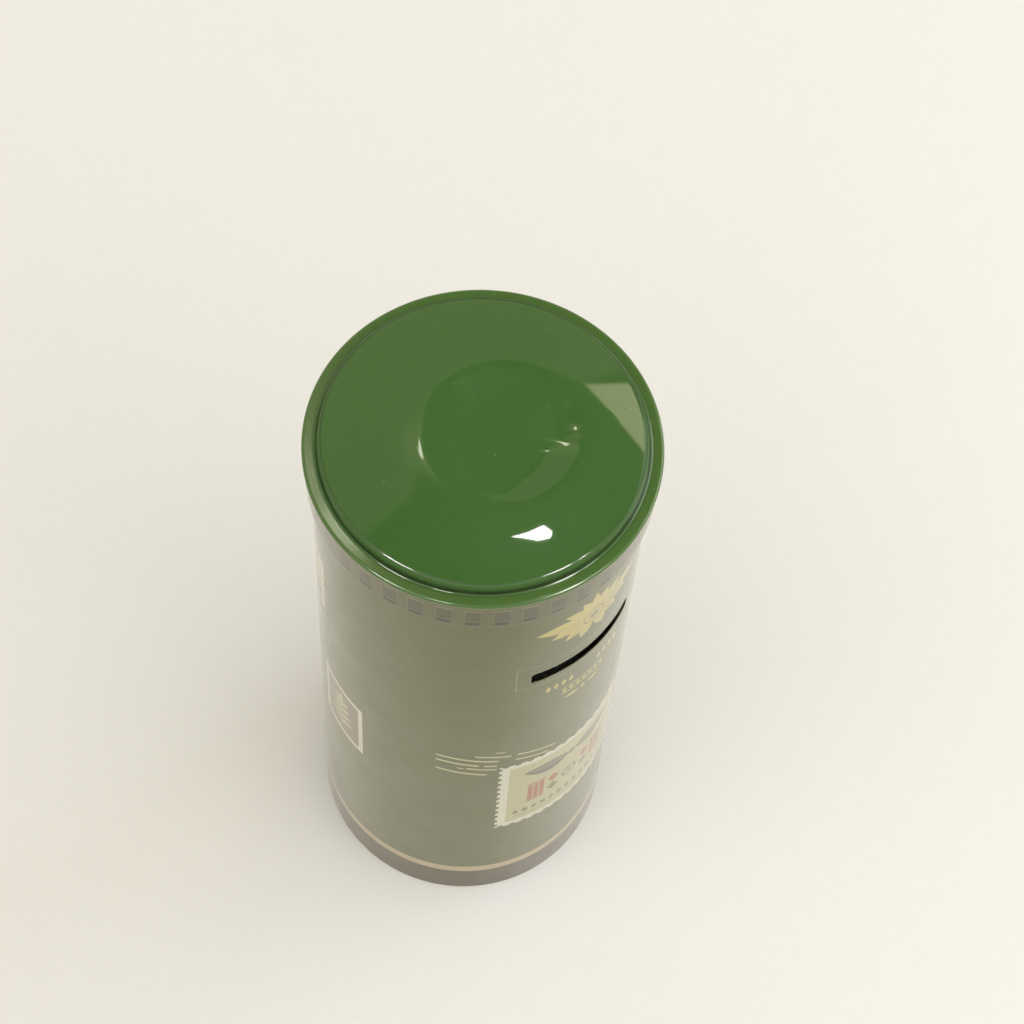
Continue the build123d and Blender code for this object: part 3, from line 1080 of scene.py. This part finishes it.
def make_lid():
    build = Build({"enamel": enamel(), "bare": tinplate(
        "lid_inside_tinplate", (0.72, 0.71, 0.66, 1.0), base_rough=0.28)})
    section = top_sheet().loop(step=1.0, chord=math.radians(6), round_start=False)
    turned(build, section, lid_slot)
    raise_verts(build, panel_move, lambda r, z: r <= CREST + 10.0 and z >= RIM_Z, reach=0.15)
    raise_verts(build, rim_move, lambda r, z: r >= 35.2, reach=0.1)
    # sink the raised panel, and hold the rim inside its widest radius
    for i, (x, y, z) in enumerate(build.verts):
        r, level = math.hypot(x, y), z / MM
        if level > RIM_Z and r < 35.0 * MM:
            level -= SINK * min(1.0, (level - RIM_Z) / 2.3)
            build.verts[i] = (x, y, level * MM)
        elif r > RIM_MAX * MM:
            build.verts[i] = (x * RIM_MAX * MM / r, y * RIM_MAX * MM / r, z)
    return build.object("lid_top_enamelled")


lid = make_lid()
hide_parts("lid_top")
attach(lid, "lid")

# ------------------------------------------------------------------ lid skirt
TEETH = 39                       # blocks round the skirt


def skirt_art(z0, z1):
    """Block border between two light lines, painted highlights near the skirt's top and at its
    lower edge: each tooth has a printed light cap and a printed dash beneath.
    """
    art = Art(SKIRT_R)
    all_round = art.half_round
    # painted highlights: a light line near the skirt's top and one at its lower edge
    art.rect(-all_round, all_round, 178.35, 178.60, "light_print_and_highlight")
    art.rect(-all_round, all_round, 170.10, 170.30, "light_print_and_highlight")
    low, cap, top = 172.4, 176.95, 177.7
    half = SKIRT_R * math.radians(2.85)
    for k in range(TEETH):
        t = math.radians(0.3 + 360.0 * k / TEETH + CAMERA_ANGLE)
        u = SKIRT_R * ((t + math.pi) % (2 * math.pi) - math.pi)
        if abs(u) > all_round - half - 0.4:
            continue
        art.rect(u - half, u + half, low, top, "block")
        art.rect(u - half, u + half, cap, top, "light_print_and_highlight")
        art.rect(u - half, u - half + 0.22, low, cap, "light_print_and_highlight")
        art.rect(u + half - 0.26, u + half, low, cap, "skirt_ground")
        art.rect(u - half * 0.78, u + half * 0.78, 170.62, 171.80, "block_dark")
    art.seam_strip(0.20, z0 + 0.2, z1 - 0.2, "bare")
    return art


def make_skirt(slots):
    build = Build(slots)
    sheet = skirt_sheet()
    straight = next(part for part in sheet.parts if part.tag == "wall")
    z1, z0 = straight.start[1], straight.end[1]

    def slot_of(p, q):
        if p.r <= 38.0 or p.normal_r + q.normal_r <= -0.6 or p.normal_r <= -0.2:
            return "bare"
        # painted shade: the skirt's turned top, just under the lid's rim, takes the dark dash ink
        return "block_dark" if p.z > z1 + 0.05 else "skirt_ground"

    turned(build, sheet.loop(step=0.8), slot_of)
    patch(build, SKIRT_R, z0, z1, skirt_art(z0, z1).shapes, "skirt_ground", dz=1.5)
    patch(build, SKIRT_R - SHEET, z0, z1, [], "bare", dz=3.0, inward=True)
    return build.object("lid_skirt_printed")


skirt = make_skirt({
    "skirt_ground": ink("ink_skirt_olive", srgb(77, 78, 32)),
    "block": ink("ink_block", srgb(66, 63, 22)),
    # the light ink paints highlight lines as well as the teeth's printed caps; the dark ink paints
    # shade under the rim as well as the printed dashes
    "light_print_and_highlight": ink("ink_light_print_and_highlight", srgb(96, 95, 52)),
    "block_dark": ink("ink_dark_print_and_rim_shade", srgb(36, 33, 5)),
    "bare": bare,
})
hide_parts("lid_skirt")
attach(skirt, "lid")


# ------------------------------------------------------------------ floor
def floor_material():
    """Off-white paper, darker far out where it is seen in reflections."""
    t = Material("floor_paper")
    tone = t.noise(scale=1.6, detail=3.0)
    base = t.mix(t.span(tone, over=(0.3, 0.7)),
                 (0.800, 0.797, 0.783, 1.0), (0.822, 0.822, 0.812, 1.0))
    fine = t.noise(scale=300.0, detail=3.0, rough=0.6)
    normal = t.bump(fine, strength=0.04, distance=0.0002)
    far = t.span(t.axis_distance()[0], over=(0.24, 0.55))
    base = t.mix(t.times(far, t.glossy_ray()), base, (0.22, 0.20, 0.16, 1.0))
    return t.done(base, t.span(fine, over=(0.3, 0.7), to=(0.42, 0.55)), normal)


FLOOR_R = 4.0                    # metres
mesh = bpy.data.meshes.new("floor")
turns = [2 * math.pi * i / 96 for i in range(96)]
mesh.from_pydata([(FLOOR_R * math.cos(a), FLOOR_R * math.sin(a), 0.0) for a in turns],
                 [], [list(range(96))])
mesh.materials.append(floor_material())
floor = bpy.data.objects.new("floor", mesh)
bpy.context.scene.collection.objects.link(floor)


# ------------------------------------------------------------------ the room
def toward(azimuth, elevation):
    """Unit direction in degrees; azimuth from the camera's side towards its right."""
    a, e = math.radians(azimuth), math.radians(elevation)
    return spin((math.cos(e) * math.sin(a), -math.cos(e) * math.cos(a), math.sin(e)))


def overhead(x, z):
    """Direction by its degrees from the zenith: x to the right, z away from the camera."""
    return toward(180.0 - math.degrees(math.atan2(x, z)), 90.0 - math.hypot(x, z))


class Room(Nodes):
    """World nodes, with masks over directions."""

    def __init__(self, world):
        super().__init__(world)
        self.coords = self.node("ShaderNodeTexCoord").outputs["Generated"]

    def dot(self, direction):
        node = self.node("ShaderNodeVectorMath", operation="DOT_PRODUCT")
        self.put(node.inputs[0], self.coords)
        node.inputs[1].default_value = tuple(direction)
        return node.outputs["Value"]

    def fade(self, value, over):
        return self.span(value, over, kind="SMOOTHSTEP")

    def half(self, edge_a, edge_b, inside, soft):
        """1 on the inside of the great circle through two directions."""
        normal = edge_a.cross(edge_b).normalized()
        if normal.dot(inside) < 0:
            normal = -normal
        return self.fade(self.dot(normal), over=(-soft, soft))

    def region(self, corners, soft=0.006):
        """1 inside a convex outline of overhead (x, z) corners."""
        points = [overhead(*corner) for corner in corners]
        middle = sum(points, Vector((0.0, 0.0, 0.0))).normalized()
        mask = None
        for a, b in zip(points, points[1:] + points[:1]):
            side = self.half(a, b, middle, soft)
            mask = side if mask is None else self.times(mask, side)
        return mask


def cosines(outer, inner):
    return math.cos(math.radians(outer)), math.cos(math.radians(inner))


# outlines overhead, as (x, z) degrees from the zenith
DARK_CORNERS = ((-6.6, 21.5), (-5.3, 29.0), (-3.2, 34.5), (1.5, 37.6), (10.0, 36.3), (6.0, 18.0))
WINDOW_CORNERS = ((10.0, 36.2), (15.5, 37.6), (25.0, 35.0), (24.0, 22.0), (17.5, 28.6))
PANE_CORNERS = ((3.53, 17.26), (6.64, 18.64), (7.78, 17.79), (7.65, 16.99), (6.35, 16.60),
                (4.85, 16.95))


def build_room(world):
    """Pale all round the horizon, a beige wall behind on the left, dark overhead."""
    t = Room(world)
    dark = (0.03, 0.03, 0.028, 1.0)
    height = t.dot((0.0, 0.0, 1.0))
    wall_edge = toward(180.0 - math.degrees(math.atan2(-13.0, 15.0)), 90.0 - 19.8)
    wall_side = t.half(wall_edge, toward(164.5, 52.6), toward(-150.0, 50.0), soft=0.012)
    behind = t.fade(t.dot(toward(180.0, 0.0)), over=(-0.10, 0.10))
    room = t.mix(wall_side, dark, (0.50, 0.46, 0.32, 1.0))
    room = t.mix(t.region(DARK_CORNERS), room, dark)
    # the camera's side, dimmer in reflections
    shiny = t.glossy_ray()
    front = t.mix(shiny, (1.20, 1.15, 1.04, 1.0), (0.22, 0.21, 0.17, 1.0))
    room = t.mix(behind, front, room)
    room = t.mix(t.fade(height, over=(0.42, 0.62)), (1.22, 1.17, 1.07, 1.0), room)
    room = t.mix(t.region(WINDOW_CORNERS), room, (3.9, 3.5, 2.3, 1.0))
    # a small lamp with a halo; the lamp and the bright pane show only in reflections
    lamp = t.dot(overhead(-4.7, 27.2))
    halo = t.fade(lamp, over=cosines(4.8, 1.2))
    room = t.mix(t.times(halo, halo), room, (0.95, 0.88, 0.55, 1.0))
    bulb = t.fade(lamp, over=cosines(1.15, 0.55))
    room = t.mix(t.times(bulb, shiny), room, (13.0, 12.6, 10.0, 1.0))
    pane = t.region(PANE_CORNERS, soft=0.0012)
    room = t.mix(t.times(pane, shiny), room, (70.0, 70.0, 66.0, 1.0))
    low = t.fade(height, over=(0.45, 0.20))
    room = t.mix(t.times(shiny, low), room, (0.42, 0.40, 0.33, 1.0))
    background = t.node("ShaderNodeBackground")
    t.put(background.inputs[0], room)
    background.inputs[1].default_value = 1.0
    t.put(t.node("ShaderNodeOutputWorld").inputs[0], background.outputs[0])


world = bpy.data.worlds.new("studio")
bpy.context.scene.world = world
build_room(world)

# ------------------------------------------------------------------ lights
LIGHT_DISTANCE = 1.6             # metres from the aim point
AIM = Vector((0.0, 0.0, 0.18))   # about the lid's height
WARM = (1.0, 0.98, 0.94)
# (name, azimuth, elevation, angular width, angular height, radiance), angles in degrees
GLEAMS = (
    ("gleam_right", 52, 45, 11, 17, 40.0),
    ("gleam_right_narrow", 69, 45, 3, 15, 26.0),
    ("gleam_left", -49, 50, 12, 10, 36.0),
    ("gleam_left_small", -17, 46, 8, 8, 34.0),
)
SOFT_LIGHTS = (("soft_right", 60, 42, 36, 26, 1.3), ("soft_left", -50, 48, 36, 26, 0.6))


def window(name, azimuth, elevation, width, height, radiance, color=WARM):
    """Rectangular light facing the aim point."""
    data = bpy.data.lights.new(name, "AREA")
    data.shape = "RECTANGLE"
    data.size = 2 * LIGHT_DISTANCE * math.tan(math.radians(width / 2))
    data.size_y = 2 * LIGHT_DISTANCE * math.tan(math.radians(height / 2))
    data.energy = radiance * math.pi * data.size * data.size_y
    data.color = color
    ob = bpy.data.objects.new(name, data)
    way = toward(azimuth, elevation)
    ob.location = way * LIGHT_DISTANCE + AIM
    ob.rotation_mode = "QUATERNION"
    ob.rotation_quaternion = (-way).to_track_quat("-Z", "Y")
    bpy.context.scene.collection.objects.link(ob)
    return ob


# crisp gleams on the lid's edges, then the broad soft light that does the lighting
for row in GLEAMS:
    window(*row).visible_diffuse = False
for row in SOFT_LIGHTS:
    window(*row).visible_glossy = False
window("side_right", azimuth=112, elevation=26, width=38, height=18, radiance=4.9,
       color=(1.0, 1.0, 1.03))

# ------------------------------------------------------------------ camera
CAMERA_BACK, CAMERA_UP = 6.95859529, 17.31243981            # in rim radii
YAW, PITCH, ROLL = 0.02743448, 1.094221, 0.09068427         # radians; pitch is downward


def make_camera():
    data = bpy.data.cameras.new("camera")
    data.sensor_fit = "HORIZONTAL"
    data.sensor_width = 36.0
    data.lens = 92.478515625
    data.clip_start, data.clip_end = 0.01, 20.0
    camera = bpy.data.objects.new("camera", data)
    bpy.context.scene.collection.objects.link(camera)
    forward = Vector((math.sin(YAW) * math.cos(PITCH), math.cos(YAW) * math.cos(PITCH),
                      -math.sin(PITCH)))
    level = Vector((math.cos(YAW), -math.sin(YAW), 0.0))
    above = level.cross(forward)
    right = spin(math.cos(ROLL) * level + math.sin(ROLL) * above)
    up = spin(-math.sin(ROLL) * level + math.cos(ROLL) * above)
    turn = Matrix((right, up, -spin(forward))).transposed().to_4x4()
    rim = RIM_R * MM
    place = spin((0.0, -CAMERA_BACK * rim, CAMERA_UP * rim))
    camera.matrix_world = Matrix.Translation(place) @ turn
    bpy.context.scene.camera = camera


make_camera()
bpy.context.scene.view_settings.view_transform = "Standard"
bpy.context.scene.view_settings.look = "None"
